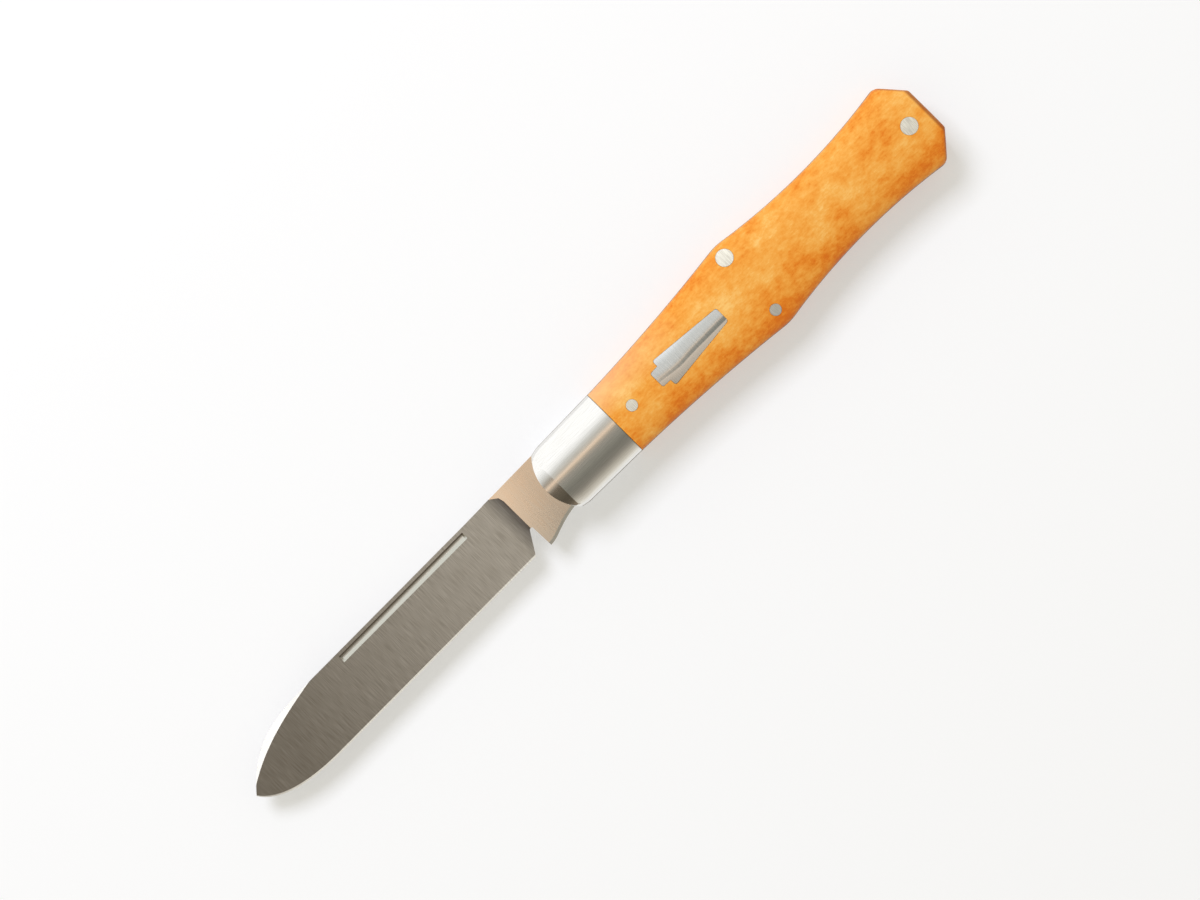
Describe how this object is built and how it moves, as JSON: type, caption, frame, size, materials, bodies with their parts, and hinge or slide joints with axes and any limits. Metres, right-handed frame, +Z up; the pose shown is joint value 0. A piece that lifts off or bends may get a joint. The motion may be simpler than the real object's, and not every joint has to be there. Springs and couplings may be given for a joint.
{
  "type": "folding pocket knife",
  "caption": "Slipjoint folding pocket knife with domed steel bolsters, orange bone scales, an inlaid shield and a blade that folds into the handle against a backspring.",
  "frame": {"origin": "on the blade's pivot axis, in the plane of the rear bolster's flat crown, on which the knife lies", "axes": "+X from the blade's tip to the butt, +Y to the back of the knife, where the spring is, +Z up from the rear side to the front side with the shield"},
  "size_m": [0.1761, 0.0196, 0.0125],
  "materials": {
    "blade_steel": "satin, fine lines across the blade",
    "liner_steel": "satin",
    "bolster_steel": "fine satin",
    "pin_steel": "flush sanded",
    "shield_steel": "satin",
    "bushing_brass": "turned",
    "dyed_bone": "smooth dyed bone, polished"
  },
  "bodies": {
    "handle": {"backspring": "liner_steel", "pivot_pin": "pin_steel", "pivot_bushing": "bushing_brass", "spring_centre_pin": "pin_steel", "butt_pin": "pin_steel", "front_liner": "liner_steel", "front_bolster": "bolster_steel", "front_scale": "dyed_bone", "front_scale_pin_bolster_end": "pin_steel", "front_scale_pin_belly": "pin_steel", "front_bolster_pin_1": "pin_steel", "front_bolster_pin_2": "pin_steel", "rear_liner": "liner_steel", "rear_bolster": "bolster_steel", "rear_scale": "dyed_bone", "rear_scale_pin_bolster_end": "pin_steel", "rear_scale_pin_belly": "pin_steel", "rear_bolster_pin_1": "pin_steel", "rear_bolster_pin_2": "pin_steel", "shield": "shield_steel", "shield_pin_1": "pin_steel", "shield_pin_2": "pin_steel"},
    "blade": {"blade": "blade_steel"}
  },
  "joints": [
    {"name": "blade_hinge", "type": "hinge", "parent": "handle", "child": "blade", "pos_m": [0, 0, 0.00625], "axis": [0, 0, 1], "range_deg": [0, 180], "deforming": ["backspring"]}
  ]
}
